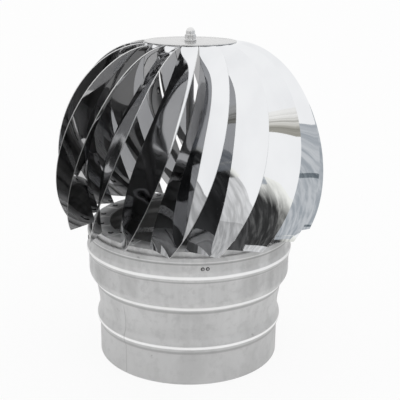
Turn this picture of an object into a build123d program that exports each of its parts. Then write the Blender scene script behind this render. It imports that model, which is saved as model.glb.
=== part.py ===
from build123d import *
import math
import os

# Chimney cowl with a wind-driven ball of twisted blades, for a flue of 200 mm.
# Millimetres and degrees. +Z is up, the origin is the centre of the stub's bottom edge,
# the front is -Y, and an azimuth turns from the front towards +X.

# Stub: one sheet, rolled into a tube with beads, a shoulder, a collar and a rolled rim
SHEET = 0.8
TUBE_RADIUS = 100.0
TUBE_BEAD_HEIGHT = 42.5
TUBE_BEAD_REACH = 3.0
TUBE_BEAD_HALF_WIDTH = 11.5
NECK_HEIGHT = 62.0
NECK_FLARE = 2.8
SHOULDER_FOOT_HEIGHT = 79.5
SHOULDER_TOP_HEIGHT = 97.0
COLLAR_RADIUS = 110.7
COLLAR_BEAD_HEIGHT = 122.5
COLLAR_BEAD_REACH = 2.2
COLLAR_BEAD_HALF_WIDTH = 7.5
RIM_TOP = 144.2
RIM_ROLL_HEIGHT = 6.4
RIM_ROLL_WIDTH = 3.0
RIM_PROUD = 0.9

# Spider: four flat bars riveted inside the collar, carrying the bearing housing
ARM_COUNT = 4
ARM_AZIMUTH = 8.4
ARM_WIDTH = 15.0
ARM_THICKNESS = 2.0
ARM_TOP = 138.0
ARM_FOOT_HEIGHT = 11.0
ARM_BEND_RADIUS = 0.9
ARM_WALL_GAP = 0.05
ARM_RIVET_HEIGHT = 132.6
ARM_RIVET_SPACING = 5.0
ARM_RIVET_RADIUS = 1.2
ARM_RIVET_HEAD_RADIUS = 1.95
ARM_RIVET_HEAD_HEIGHT = 0.9

# Bearing housing, with a ball bearing of 8 x 22 x 7 at each end
SPINDLE_RADIUS = 4.0
BEARING_RADIUS = 11.0
BEARING_WIDTH = 7.0
BALL_COUNT = 7
BALL_RADIUS = 1.98
BALL_CLEARANCE = 0.12
RACE_WALL = 2.2
SEAT_CLEARANCE = 0.02
HOUSING_RADIUS = 14.0
HOUSING_BOTTOM = 112.0
HOUSING_TOP = 152.0
HOUSING_LIP = 0.9
HOUSING_SHOULDER = 1.5
HOUSING_FLANGE_REACH = 10.0
HOUSING_FLANGE_THICKNESS = 2.5
CLIP_THICKNESS = 1.0
CLIP_GROOVE_DEPTH = 0.5
CLIP_SPAN = 2.2
CLIP_GAP = 4.0
CLIP_CLEARANCE = 0.05

# Rotor: spindle, top disc, clamping plate, ring and blades
DISC_TOP = 343.0
DISC_THICKNESS = 1.0
DISC_RADIUS = 48.0
CLAMP_RADIUS = 44.0
CLAMP_THICKNESS = 1.2
LOWER_WASHER_RADIUS = 12.0
LOWER_WASHER_THICKNESS = 1.5
UPPER_WASHER_RADIUS = 6.2
UPPER_WASHER_THICKNESS = 1.6
STUD_RADIUS = 3.0
STUD_HOLE_CLEARANCE = 0.2
STUD_REACH = 8.5
SPINDLE_COLLAR_RADIUS = 6.0
SPINDLE_COLLAR_HEIGHT = 6.0
SPINDLE_TAIL = 1.5
NUT_ACROSS_FLATS = 10.0
NUT_HEX_HEIGHT = 5.0
NUT_DOME_RADIUS = 4.75
NUT_HEIGHT = 12.0
NUT_BORE_DEPTH = 9.5
RING_STEP_IN = 4.2
RING_TOP = 149.0
RING_THICKNESS = 1.0
RING_FLANGE_WIDTH = 19.5
RING_SKIRT_HEIGHT = 9.5

# Blades: strips of sheet, flat under the disc, then turning in so that each overlaps the next.
# Each edge is a cubic curve from the disc's rim, with a handle at its shoulder and
# another at its belly, down to a corner.
BLADE_COUNT = 18
BLADE_SHEET = 0.8
BLADE_STATIONS = 10
TAB_INNER_RADIUS = 20.0
TAB_GAP_ANGLE = 0.6
TAB_AZIMUTH = 9.6
OUTER_SHOULDER_RADIUS = 119.4
OUTER_SHOULDER_AZIMUTH = 7.6
OUTER_BELLY_RADIUS = 164.6
OUTER_BELLY_AZIMUTH = 5.2
OUTER_BELLY_HEIGHT = 223.7
OUTER_CORNER_RADIUS = 133.5
OUTER_CORNER_AZIMUTH = -17.9
OUTER_CORNER_HEIGHT = 151.9
INNER_SHOULDER_RADIUS = 111.9
INNER_SHOULDER_AZIMUTH = -5.5
INNER_SHOULDER_HEIGHT = 292.1
INNER_BELLY_RADIUS = 124.0
INNER_BELLY_AZIMUTH = -19.3
INNER_BELLY_HEIGHT = 233.4
INNER_CORNER_MARGIN = 3.0
INNER_CORNER_AZIMUTH = -31.9
FOOT_WIDTH = 16.0
FOOT_MARGIN = 1.5
FOOT_RIVET_RADIUS = 1.6
FOOT_RIVET_HEAD_RADIUS = 3.2
FOOT_RIVET_HEAD_HEIGHT = 1.4
FOOT_RIVET_TAIL_RADIUS = 2.4
FOOT_RIVET_TAIL_HEIGHT = 1.2
RIVET_HOLE_CLEARANCE = 0.05

# Heights and angles that follow from the sizes above
COLLAR_INNER_RADIUS = COLLAR_RADIUS - SHEET
RING_RADIUS = COLLAR_RADIUS - RING_STEP_IN
INNER_CORNER_RADIUS = RING_RADIUS - INNER_CORNER_MARGIN
TAB_TOP = DISC_TOP - DISC_THICKNESS
CLAMP_TOP = TAB_TOP - BLADE_SHEET
TAB_MIDDLE = TAB_TOP - BLADE_SHEET / 2
WASHER_TOP = CLAMP_TOP - CLAMP_THICKNESS
SPINDLE_SHOULDER = WASHER_TOP - LOWER_WASHER_THICKNESS
NUT_SEAT = DISC_TOP + UPPER_WASHER_THICKNESS
ARM_UNDERSIDE = ARM_TOP - ARM_THICKNESS
ARM_REACH = COLLAR_INNER_RADIUS - ARM_WALL_GAP
BEARING_BOTTOMS = (
    HOUSING_BOTTOM + HOUSING_LIP + CLIP_THICKNESS + 2 * CLIP_CLEARANCE,
    HOUSING_TOP - HOUSING_LIP - CLIP_THICKNESS - 2 * CLIP_CLEARANCE - BEARING_WIDTH,
)
BALL_PITCH_RADIUS = (SPINDLE_RADIUS + BEARING_RADIUS) / 2
BLADE_PITCH = 360 / BLADE_COUNT
TAB_HALF_ANGLE = (BLADE_PITCH - TAB_GAP_ANGLE) / 2


def polar(radius, azimuth, height):
    """Point at a radius and height, at an azimuth turned from the front towards +X."""
    angle = math.radians(azimuth)
    return Vector(radius * math.sin(angle), -radius * math.cos(angle), height)


def section_point(radius, height):
    """Point of a turned section, in the plane through the axis."""
    return Vector(radius, 0, height)


def ring_solid(inner, outer, bottom, top):
    """Plain ring or bush about the axis."""
    corners = [
        section_point(inner, bottom),
        section_point(outer, bottom),
        section_point(outer, top),
        section_point(inner, top),
    ]
    return revolve(make_face(Polyline(*corners, close=True)), axis=Axis.Z)


def bead(radius, height, reach, half_width):
    """Round swell rolled out of the tube wall."""
    return ThreePointArc(
        section_point(radius, height - half_width),
        section_point(radius + reach, height),
        section_point(radius, height + half_width),
    )


def stub_side(inset):
    """Outline of the stub's wall from the bottom edge to the rolled rim."""
    tube = TUBE_RADIUS - inset
    collar = COLLAR_RADIUS - inset
    tube_bead = bead(tube, TUBE_BEAD_HEIGHT, TUBE_BEAD_REACH, TUBE_BEAD_HALF_WIDTH)
    collar_bead = bead(collar, COLLAR_BEAD_HEIGHT, COLLAR_BEAD_REACH, COLLAR_BEAD_HALF_WIDTH)
    neck = section_point(tube, NECK_HEIGHT)
    shoulder_foot = section_point(tube + NECK_FLARE, SHOULDER_FOOT_HEIGHT)
    shoulder_top = section_point(collar, SHOULDER_TOP_HEIGHT)
    shoulder_middle = (shoulder_foot + shoulder_top) / 2
    flare = TangentArc(shoulder_foot, shoulder_middle, tangent=(0, 0, 1))
    turn = TangentArc(shoulder_middle, shoulder_top, tangent=flare % 1)
    return [
        Line(section_point(tube, 0), tube_bead @ 0),
        tube_bead,
        Line(tube_bead @ 1, neck),
        Line(neck, shoulder_foot),
        flare,
        turn,
        Line(shoulder_top, collar_bead @ 0),
        collar_bead,
        Line(collar_bead @ 1, section_point(collar, RIM_TOP - RIM_ROLL_HEIGHT / 2)),
    ]


def arm_rivet_spots():
    """Place of each rivet in the spider's feet, with Z pointing out through the collar."""
    return [
        Plane(
            origin=polar(0, 0, ARM_RIVET_HEIGHT),
            x_dir=polar(1, azimuth + 90, 0),
            z_dir=polar(1, azimuth, 0),
        )
        * Pos(side * ARM_RIVET_SPACING / 2, 0, 0)
        for azimuth in arm_azimuths()
        for side in (-1, 1)
    ]


def arm_azimuths():
    return [ARM_AZIMUTH + 360 / ARM_COUNT * number for number in range(ARM_COUNT)]


def make_stub():
    """Tube, shoulder and collar in one sheet, with the rivet holes of the spider."""
    outside = stub_side(0)
    inside = stub_side(SHEET)
    bottom = Line(inside[0] @ 0, outside[0] @ 0)
    top = Line(inside[-1] @ 1, outside[-1] @ 1)
    wall = revolve(make_face(outside + inside + [bottom, top]), axis=Axis.Z)
    roll_section = Plane.XZ * Pos(
        COLLAR_RADIUS + RIM_PROUD - RIM_ROLL_WIDTH / 2, RIM_TOP - RIM_ROLL_HEIGHT / 2
    ) * SlotOverall(RIM_ROLL_HEIGHT, RIM_ROLL_WIDTH, rotation=90)
    stub = wall + revolve(roll_section, axis=Axis.Z)
    hole = Pos(0, 0, COLLAR_RADIUS) * Cylinder(
        ARM_RIVET_RADIUS + RIVET_HOLE_CLEARANCE, 4 * SHEET
    )
    return stub - [spot * hole for spot in arm_rivet_spots()]


def make_arm(azimuth):
    """Flat bar from the housing to the collar, its end bent down into a riveted foot."""
    inner = section_point(HOUSING_RADIUS / 2, ARM_TOP - ARM_THICKNESS / 2)
    bend = section_point(COLLAR_RADIUS, ARM_TOP - ARM_THICKNESS / 2)
    bar = Pos((inner.X + bend.X) / 2, 0, inner.Z) * Box(
        bend.X - inner.X, ARM_WIDTH, ARM_THICKNESS
    )
    foot_inner = ARM_REACH - ARM_THICKNESS
    foot = Pos(
        (foot_inner + COLLAR_RADIUS) / 2, 0, ARM_TOP - ARM_FOOT_HEIGHT / 2
    ) * Box(COLLAR_RADIUS - foot_inner, ARM_WIDTH, ARM_FOOT_HEIGHT)
    arm = bar + foot
    inner_corner = [
        edge
        for edge in arm.edges().filter_by(Axis.Y)
        if abs(edge.center().X - foot_inner) < 1e-3
        and abs(edge.center().Z - ARM_UNDERSIDE) < 1e-3
    ]
    arm = fillet(inner_corner, ARM_BEND_RADIUS)
    arm = arm & ring_solid(HOUSING_RADIUS, ARM_REACH, ARM_TOP - ARM_FOOT_HEIGHT, ARM_TOP)
    hole = Pos(0, 0, ARM_REACH) * Cylinder(
        ARM_RIVET_RADIUS + RIVET_HOLE_CLEARANCE, 4 * ARM_THICKNESS
    )
    arm = Rot(0, 0, azimuth - 90) * arm
    return arm - [spot * hole for spot in arm_rivet_spots()]


def make_rivet(radius, grip, head_radius, head_height, tail_radius, tail_height):
    """Blind rivet about Z: domed head above 0, grip below it, then the upset tail."""
    half_section = [
        Line((0, 0, head_height), (0, 0, -grip - tail_height)),
        Line((0, 0, -grip - tail_height), (tail_radius, 0, -grip - tail_height)),
        Line((tail_radius, 0, -grip - tail_height), (tail_radius, 0, -grip)),
        Line((tail_radius, 0, -grip), (radius, 0, -grip)),
        Line((radius, 0, -grip), (radius, 0, 0)),
        Line((radius, 0, 0), (head_radius, 0, 0)),
        TangentArc((0, 0, head_height), (head_radius, 0, 0), tangent=(1, 0, 0)),
    ]
    return revolve(make_face(half_section), axis=Axis.Z)


def make_arm_rivets():
    """Two small rivets through the collar into each foot of the spider."""
    rivet = make_rivet(
        ARM_RIVET_RADIUS,
        SHEET + ARM_WALL_GAP + ARM_THICKNESS,
        ARM_RIVET_HEAD_RADIUS,
        ARM_RIVET_HEAD_HEIGHT,
        ARM_RIVET_HEAD_RADIUS,
        ARM_RIVET_HEAD_HEIGHT,
    )
    return Compound(
        children=[spot * Pos(0, 0, COLLAR_RADIUS) * rivet for spot in arm_rivet_spots()]
    )


def make_housing():
    """Turned sleeve with a bearing seat and a circlip groove at each end, and a flange."""
    seat = BEARING_RADIUS + SEAT_CLEARANCE
    groove = seat + CLIP_GROOVE_DEPTH
    body = ring_solid(seat, HOUSING_RADIUS, HOUSING_BOTTOM, HOUSING_TOP)
    flange = ring_solid(
        seat,
        HOUSING_RADIUS + HOUSING_FLANGE_REACH,
        ARM_UNDERSIDE - HOUSING_FLANGE_THICKNESS,
        ARM_UNDERSIDE,
    )
    shoulder = ring_solid(
        seat - HOUSING_SHOULDER,
        HOUSING_RADIUS - HOUSING_SHOULDER,
        BEARING_BOTTOMS[0] + BEARING_WIDTH,
        BEARING_BOTTOMS[1],
    )
    housing = body + flange + shoulder
    clip_bottoms = (HOUSING_BOTTOM + HOUSING_LIP, HOUSING_TOP - HOUSING_LIP)
    for bottom, direction in zip(clip_bottoms, (1, -1)):
        far_side = bottom + direction * (CLIP_THICKNESS + 2 * CLIP_CLEARANCE)
        housing -= ring_solid(
            seat - HOUSING_SHOULDER, groove, min(bottom, far_side), max(bottom, far_side)
        )
    return housing


def make_race(inner, outer, bottom):
    """Bearing ring with its ball groove."""
    groove = Pos(0, 0, bottom + BEARING_WIDTH / 2) * Torus(
        BALL_PITCH_RADIUS, BALL_RADIUS + BALL_CLEARANCE
    )
    return ring_solid(inner, outer, bottom, bottom + BEARING_WIDTH) - groove


def make_balls(bottom):
    """Balls of one bearing."""
    height = bottom + BEARING_WIDTH / 2
    return Compound(
        children=[
            Pos(polar(BALL_PITCH_RADIUS, 360 / BALL_COUNT * number, height)) * Sphere(BALL_RADIUS)
            for number in range(BALL_COUNT)
        ]
    )


def make_clip(inner, outer, bottom):
    """Open circlip with its gap towards +X."""
    gap = Pos(outer, 0, bottom) * Box(outer, CLIP_GAP, 4 * CLIP_THICKNESS)
    return ring_solid(inner, outer, bottom, bottom + CLIP_THICKNESS) - gap


def housing_clip(bottom):
    outer = BEARING_RADIUS + SEAT_CLEARANCE + CLIP_GROOVE_DEPTH - CLIP_CLEARANCE
    return make_clip(outer - CLIP_SPAN, outer, bottom)


def make_spindle():
    """Turned spindle: groove for its clip, shaft, collar on the upper bearing, and stud."""
    clip_top = BEARING_BOTTOMS[0] - CLIP_CLEARANCE
    clip_bottom = clip_top - CLIP_THICKNESS
    collar_bottom = BEARING_BOTTOMS[1] + BEARING_WIDTH
    tail = clip_bottom - SPINDLE_TAIL
    shaft = ring_solid(0, SPINDLE_RADIUS, tail, SPINDLE_SHOULDER)
    shaft = chamfer(shaft.edges().group_by(Axis.Z)[0], SPINDLE_RADIUS / 8)
    shaft -= ring_solid(
        SPINDLE_RADIUS - CLIP_GROOVE_DEPTH,
        SPINDLE_COLLAR_RADIUS,
        clip_bottom - CLIP_CLEARANCE,
        clip_top + CLIP_CLEARANCE,
    )
    collar = ring_solid(
        0, SPINDLE_COLLAR_RADIUS, collar_bottom, collar_bottom + SPINDLE_COLLAR_HEIGHT
    )
    stud = ring_solid(0, STUD_RADIUS, SPINDLE_SHOULDER, NUT_SEAT + STUD_REACH)
    stud = chamfer(stud.edges().group_by(Axis.Z)[-1], STUD_RADIUS / 6)
    return shaft + collar + stud


def make_spindle_clip():
    inner = SPINDLE_RADIUS - CLIP_GROOVE_DEPTH + CLIP_CLEARANCE
    bottom = BEARING_BOTTOMS[0] - CLIP_CLEARANCE - CLIP_THICKNESS
    return make_clip(inner, inner + CLIP_SPAN, bottom)


def make_acorn_nut():
    """Hexagon with a domed cap, open below for the stud."""
    hexagon = extrude(
        Pos(0, 0, NUT_SEAT)
        * RegularPolygon(NUT_ACROSS_FLATS / 2, 6, major_radius=False),
        NUT_HEX_HEIGHT,
    )
    corner_radius = NUT_ACROSS_FLATS / 2 / math.cos(math.radians(30))
    chamfered_blank = Pos(0, 0, NUT_SEAT) * Cylinder(
        corner_radius, NUT_HEX_HEIGHT, align=(Align.CENTER, Align.CENTER, Align.MIN)
    )
    chamfered_blank = chamfer(chamfered_blank.edges(), corner_radius - NUT_ACROSS_FLATS / 2)
    dome_centre = NUT_SEAT + NUT_HEIGHT - NUT_DOME_RADIUS
    neck = ring_solid(0, NUT_DOME_RADIUS, NUT_SEAT + NUT_HEX_HEIGHT / 2, dome_centre)
    dome = Pos(0, 0, dome_centre) * Sphere(NUT_DOME_RADIUS)
    bore = ring_solid(
        0, STUD_RADIUS + RIVET_HOLE_CLEARANCE, NUT_SEAT - 1, NUT_SEAT + NUT_BORE_DEPTH
    )
    return (hexagon & chamfered_blank) + neck + dome - bore


def stud_plate(outer, bottom, thickness):
    """Round plate or washer on the stud."""
    return ring_solid(STUD_RADIUS + STUD_HOLE_CLEARANCE, outer, bottom, bottom + thickness)


def along(share, start, shoulder, belly, end):
    """Value on a cubic curve with two handles, from its start (0) to its end (1)."""
    rest = 1 - share
    from_start = rest**3 * start + 3 * rest**2 * share * shoulder
    return from_start + 3 * rest * share**2 * belly + share**3 * end


def outer_edge(share):
    """Free outer edge of the blade, from the disc's rim (0) to the cut end (1)."""
    rim_azimuth = TAB_AZIMUTH + TAB_HALF_ANGLE
    return polar(
        along(
            share, DISC_RADIUS, OUTER_SHOULDER_RADIUS, OUTER_BELLY_RADIUS, OUTER_CORNER_RADIUS
        ),
        along(
            share, rim_azimuth, OUTER_SHOULDER_AZIMUTH, OUTER_BELLY_AZIMUTH, OUTER_CORNER_AZIMUTH
        ),
        along(share, TAB_MIDDLE, TAB_MIDDLE, OUTER_BELLY_HEIGHT, OUTER_CORNER_HEIGHT),
    )


def inner_edge(share):
    """Inner edge of the blade, ending on the ring's flange."""
    rim_azimuth = TAB_AZIMUTH - TAB_HALF_ANGLE
    return polar(
        along(
            share, DISC_RADIUS, INNER_SHOULDER_RADIUS, INNER_BELLY_RADIUS, INNER_CORNER_RADIUS
        ),
        along(
            share, rim_azimuth, INNER_SHOULDER_AZIMUTH, INNER_BELLY_AZIMUTH, INNER_CORNER_AZIMUTH
        ),
        along(
            share,
            TAB_MIDDLE,
            INNER_SHOULDER_HEIGHT,
            INNER_BELLY_HEIGHT,
            RING_TOP + BLADE_SHEET / 2,
        ),
    )


def blade_section(share, step=0.02):
    """Flat cross-section of the strip, square to its run."""
    outer = outer_edge(share)
    inner = inner_edge(share)
    chord = outer - inner
    if share == 0:
        run = chord.cross(Vector(0, 0, 1))
    else:
        before = outer_edge(share - step) + inner_edge(share - step)
        after_share = min(share + step, 1)
        run = outer_edge(after_share) + inner_edge(after_share) - before
    run -= chord * (run.dot(chord) / chord.dot(chord))
    middle = (outer + inner) / 2
    return Plane(origin=middle, x_dir=chord, z_dir=run) * Rectangle(chord.length, BLADE_SHEET)


def flat_piece(corners, bottom):
    """Flat piece of blade sheet with the given corners, resting at a height."""
    outline = [Vector(corner.X, corner.Y, bottom) for corner in corners]
    return extrude(make_face(Polyline(*outline, close=True)), BLADE_SHEET, dir=(0, 0, 1))


def foot_azimuths():
    """First and last azimuth of the foot, which lies on the ring beside the blade's end."""
    return INNER_CORNER_AZIMUTH, INNER_CORNER_AZIMUTH + math.degrees(FOOT_WIDTH / RING_RADIUS)


def foot_rivet_spot():
    """Middle of the foot on the ring's flange."""
    first, last = foot_azimuths()
    radius = RING_RADIUS - RING_FLANGE_WIDTH / 2
    return polar(radius, (first + last) / 2, RING_TOP)


def make_foot():
    """Flat foot on the ring's flange, bent from the blade's end."""
    first, last = foot_azimuths()
    outer_radius = RING_RADIUS - FOOT_MARGIN
    inner_radius = RING_RADIUS - RING_FLANGE_WIDTH + FOOT_MARGIN
    inner_corner = inner_edge(1)
    chord = outer_edge(1) - inner_corner
    flat_chord = Vector(chord.X, chord.Y, 0).normalized()
    overlap = flat_chord * (outer_radius - INNER_CORNER_RADIUS + BLADE_SHEET)
    corners = [
        polar(inner_radius, first, 0),
        inner_corner,
        inner_corner + overlap,
        polar(outer_radius, last, 0),
        polar(inner_radius, last, 0),
    ]
    foot = flat_piece(corners, RING_TOP)
    hole = Pos(foot_rivet_spot()) * Cylinder(
        FOOT_RIVET_RADIUS + RIVET_HOLE_CLEARANCE, 4 * BLADE_SHEET
    )
    return foot - hole


def make_blade():
    """Tapered tab under the disc, twisted strip, and foot on the ring, in one sheet."""
    shares = [number / (BLADE_STATIONS - 1) for number in range(BLADE_STATIONS)]
    strip = loft([blade_section(share) for share in shares])
    tab_corners = [
        polar(TAB_INNER_RADIUS, TAB_AZIMUTH - TAB_HALF_ANGLE, 0),
        polar(DISC_RADIUS, TAB_AZIMUTH - TAB_HALF_ANGLE, 0),
        polar(DISC_RADIUS, TAB_AZIMUTH + TAB_HALF_ANGLE, 0),
        polar(TAB_INNER_RADIUS, TAB_AZIMUTH + TAB_HALF_ANGLE, 0),
    ]
    return strip + flat_piece(tab_corners, TAB_TOP - BLADE_SHEET) + make_foot()


def blade_turns():
    """Turn of each blade, with a gap between blades at the front."""
    return [Rot(0, 0, BLADE_PITCH * (number + 0.5)) for number in range(BLADE_COUNT)]


def make_ring():
    """Ring of the rotor: a flange for the feet and a skirt inside the stub's rim."""
    bottom = RING_TOP - RING_THICKNESS
    flange = ring_solid(RING_RADIUS - RING_FLANGE_WIDTH, RING_RADIUS, bottom, RING_TOP)
    skirt = ring_solid(
        RING_RADIUS - RING_THICKNESS, RING_RADIUS, RING_TOP - RING_SKIRT_HEIGHT, RING_TOP
    )
    hole = Pos(foot_rivet_spot()) * Cylinder(
        FOOT_RIVET_RADIUS + RIVET_HOLE_CLEARANCE, 4 * RING_THICKNESS
    )
    return flange + skirt - [turn * hole for turn in blade_turns()]


def make_foot_rivets():
    """One rivet through each foot and the ring's flange."""
    rivet = make_rivet(
        FOOT_RIVET_RADIUS,
        BLADE_SHEET + RING_THICKNESS,
        FOOT_RIVET_HEAD_RADIUS,
        FOOT_RIVET_HEAD_HEIGHT,
        FOOT_RIVET_TAIL_RADIUS,
        FOOT_RIVET_TAIL_HEIGHT,
    )
    rivet = Pos(foot_rivet_spot()) * Pos(0, 0, BLADE_SHEET) * rivet
    return Compound(children=[turn * rivet for turn in blade_turns()])


def make_pieces():
    """Every piece of the cowl by the name of its node."""
    pieces = {
        "stub_tube": make_stub(),
        "spider_rivets": make_arm_rivets(),
        "bearing_housing": make_housing(),
        "lower_housing_clip": housing_clip(HOUSING_BOTTOM + HOUSING_LIP + CLIP_CLEARANCE),
        "upper_housing_clip": housing_clip(
            HOUSING_TOP - HOUSING_LIP - CLIP_CLEARANCE - CLIP_THICKNESS
        ),
        "spindle": make_spindle(),
        "spindle_clip": make_spindle_clip(),
        "top_disc": stud_plate(DISC_RADIUS, TAB_TOP, DISC_THICKNESS),
        "clamp_plate": stud_plate(CLAMP_RADIUS, WASHER_TOP, CLAMP_THICKNESS),
        "lower_washer": stud_plate(
            LOWER_WASHER_RADIUS, SPINDLE_SHOULDER, LOWER_WASHER_THICKNESS
        ),
        "upper_washer": stud_plate(UPPER_WASHER_RADIUS, DISC_TOP, UPPER_WASHER_THICKNESS),
        "acorn_nut": make_acorn_nut(),
        "rotor_ring": make_ring(),
        "foot_rivets": make_foot_rivets(),
    }
    for number, azimuth in enumerate(arm_azimuths(), start=1):
        pieces[f"spider_arm_{number}"] = make_arm(azimuth)
    for name, bottom in zip(("lower", "upper"), BEARING_BOTTOMS):
        inner = SPINDLE_RADIUS + SEAT_CLEARANCE
        pieces[f"{name}_inner_race"] = make_race(inner, inner + RACE_WALL, bottom)
        pieces[f"{name}_outer_race"] = make_race(
            BEARING_RADIUS - RACE_WALL, BEARING_RADIUS, bottom
        )
        pieces[f"{name}_bearing_balls"] = make_balls(bottom)
    blade = make_blade()
    for number, turn in enumerate(blade_turns(), start=1):
        pieces[f"blade_{number:02d}"] = turn * blade
    return pieces


os.makedirs("parts", exist_ok=True)
for node, piece in make_pieces().items():
    export_step(piece, f"parts/{node}.step")
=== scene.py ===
import math

import bmesh
import bpy
from mathutils import Matrix, Vector


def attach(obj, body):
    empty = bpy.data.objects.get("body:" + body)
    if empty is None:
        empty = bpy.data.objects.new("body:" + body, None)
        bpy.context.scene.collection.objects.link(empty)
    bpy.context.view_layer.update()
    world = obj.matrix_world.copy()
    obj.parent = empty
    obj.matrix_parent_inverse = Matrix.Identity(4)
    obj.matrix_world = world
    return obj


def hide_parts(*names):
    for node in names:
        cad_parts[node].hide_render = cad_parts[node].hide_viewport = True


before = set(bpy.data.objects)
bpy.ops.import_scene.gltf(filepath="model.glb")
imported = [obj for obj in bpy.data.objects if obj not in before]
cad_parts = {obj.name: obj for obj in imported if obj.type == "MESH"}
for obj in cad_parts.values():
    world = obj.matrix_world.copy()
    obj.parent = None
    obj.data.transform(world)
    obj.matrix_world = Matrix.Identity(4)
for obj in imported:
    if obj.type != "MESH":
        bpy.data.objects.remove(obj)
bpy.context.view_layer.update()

# Sizes in millimetres and degrees, the same as in the part's source
MM = 0.001
SHEET = 0.8
BLADE_COUNT = 18
BLADE_PITCH = 360 / BLADE_COUNT
DISC_RADIUS = 48.0
DISC_TOP = 343.0
TAB_MIDDLE = 341.6
TAB_INNER_RADIUS = 20.0
RING_TOP = 149.0
RING_RADIUS = 106.5
RING_INNER_RADIUS = 87.0
FOOT_RIVET_RADIUS = 96.75
FOOT_FIRST_AZIMUTH = -31.9
FOOT_LAST_AZIMUTH = FOOT_FIRST_AZIMUTH + math.degrees(16 / RING_RADIUS)
NUT_SEAT = 344.6
NUT_NECK_RADIUS = 4.75
TUBE_RADIUS = 100.0
COLLAR_RADIUS = 110.7
RIM_PROUD = 0.9
RIM_ROUND = 1.5
RIM_LOW = 139.3
RIM_HIGH = 142.7
ARM_AZIMUTH = 8.4
ARM_RIVET_HEIGHT = 132.6
ARM_RIVET_HEAD_RADIUS = 1.95
FOOT_RIVET_HEAD_RADIUS = 3.2
BALL_PITCH_RADIUS = 7.5
BALL_RADIUS = 1.98
GROOVE_RADIUS = 2.1
INNER_RACE_RADIUS = 6.22
OUTER_RACE_RADIUS = 8.8
BEARING_WIDTH = 7

# Beads of the stub: height of the middle, reach and half width
TUBE_BEAD = (42.5, 3.0, 11.5)
COLLAR_BEAD = (122.5, 2.2, 7.5)

# Seam of the stub: its place, the groove's depth and width, and the mesh's steps across it
SEAM_AZIMUTH = -41.0
SEAM_DEPTH = 0.12
SEAM_WIDTH = 0.45
SEAM_STEP = 0.12

# Painted highlight lines and painted shade lines round the stub:
# height of the middle, half width and softness, in millimetres
PAINTED_HIGHLIGHT_LINES = ((42.4, 1.4, 0.7), (87.8, 2.0, 0.8), (123.2, 1.5, 0.7), (139.4, 0.1, 0.5))
PAINTED_SHADE_LINES = ((36.2, 1.6, 1.0), (82.6, 1.5, 0.8), (118.2, 0.9, 0.5), (137.2, 0.9, 0.4))

# Studio, in metres and degrees: the camera's place and aim
CAMERA_Y = -0.8415
CAMERA_HEIGHT = 0.4226
CAMERA_TILT = 16.68
CAMERA_ROLL = 0.412
FOCAL_LENGTH = 72.0
PICTURE_WIDTH = 400
PICTURE_MIDDLE = 189.27

# Boards that stand outside the camera's view
VIEW_SLOPE = 0.28
BOARD_FRONT = -0.16
BOARD_REACH = 3.0
UPRIGHT_REACH = 2.8
CAGE_MIDDLE = 0.24

# Blade edges: values of a cubic curve at the disc's rim, shoulder handle, belly handle and corner.
# The outer belly handle is 0.04 short of the part's, to keep the curve inside the part's box.
OUTER_EDGE = {
    "radius": (DISC_RADIUS, 119.4, 164.56, 133.5),
    "azimuth": (19.3, 7.6, 5.2, -17.9),
    "height": (TAB_MIDDLE, TAB_MIDDLE, 223.7, 151.9),
}
INNER_EDGE = {
    "radius": (DISC_RADIUS, 111.9, 124.0, 103.5),
    "azimuth": (-0.1, -5.5, -19.3, -31.9),
    "height": (TAB_MIDDLE, 292.1, 233.4, RING_TOP + SHEET / 2),
}


class Wire:
    """A socket in a node tree that can be used in ordinary arithmetic."""

    def __init__(self, tree, socket):
        self.tree = tree
        self.socket = socket

    def __add__(self, other):
        return self.tree.math("ADD", self, other)

    def __radd__(self, other):
        return self.tree.math("ADD", other, self)

    def __sub__(self, other):
        return self.tree.math("SUBTRACT", self, other)

    def __rsub__(self, other):
        return self.tree.math("SUBTRACT", other, self)

    def __mul__(self, other):
        return self.tree.math("MULTIPLY", self, other)

    def __rmul__(self, other):
        return self.tree.math("MULTIPLY", other, self)

    def __truediv__(self, other):
        return self.tree.math("DIVIDE", self, other)

    def __rtruediv__(self, other):
        return self.tree.math("DIVIDE", other, self)

    def __neg__(self):
        return self.tree.math("MULTIPLY", self, -1.0)


class Tree:
    """Builds nodes in a shader tree or a geometry tree."""

    def __init__(self, nodes_of):
        self.tree = nodes_of
        self.nodes = nodes_of.nodes

    def node(self, kind, settings=None, sockets=None):
        """Adds a node: its settings first, then the values or wires of its sockets."""
        made = self.nodes.new(kind)
        for name, value in (settings or {}).items():
            setattr(made, name, value)
        for key, value in (sockets or {}).items():
            if isinstance(value, Wire):
                self.tree.links.new(value.socket, made.inputs[key])
            else:
                made.inputs[key].default_value = value
        return made

    def wire(self, kind, settings=None, sockets=None, output=0):
        """Adds a node and gives one of its outputs."""
        return Wire(self, self.node(kind, settings, sockets).outputs[output])

    def math(self, operation, *values):
        return self.wire("ShaderNodeMath", {"operation": operation}, dict(enumerate(values)))

    def between(self, value, low, high):
        """0 below low, 1 above high, and a smooth rise between the two."""
        settings = {"interpolation_type": "SMOOTHSTEP"}
        sockets = {"Value": value, "From Min": low, "From Max": high}
        return self.wire("ShaderNodeMapRange", settings, sockets)

    def mix_colour(self, factor, first, second):
        settings = {"data_type": "RGBA"}
        return self.wire("ShaderNodeMix", settings, {0: factor, 6: first, 7: second}, 2)


def grey(level):
    return (level, level, level, 1.0)


def polar(radius, azimuth, height):
    """Point in millimetres, at an azimuth turned from the front towards +X."""
    angle = math.radians(azimuth)
    return Vector((radius * math.sin(angle), -radius * math.cos(angle), height))


# Finishes

def new_finish(name):
    material = bpy.data.materials.new(name)
    material.use_nodes = True
    material.node_tree.nodes.clear()
    return material, Tree(material.node_tree)


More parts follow.
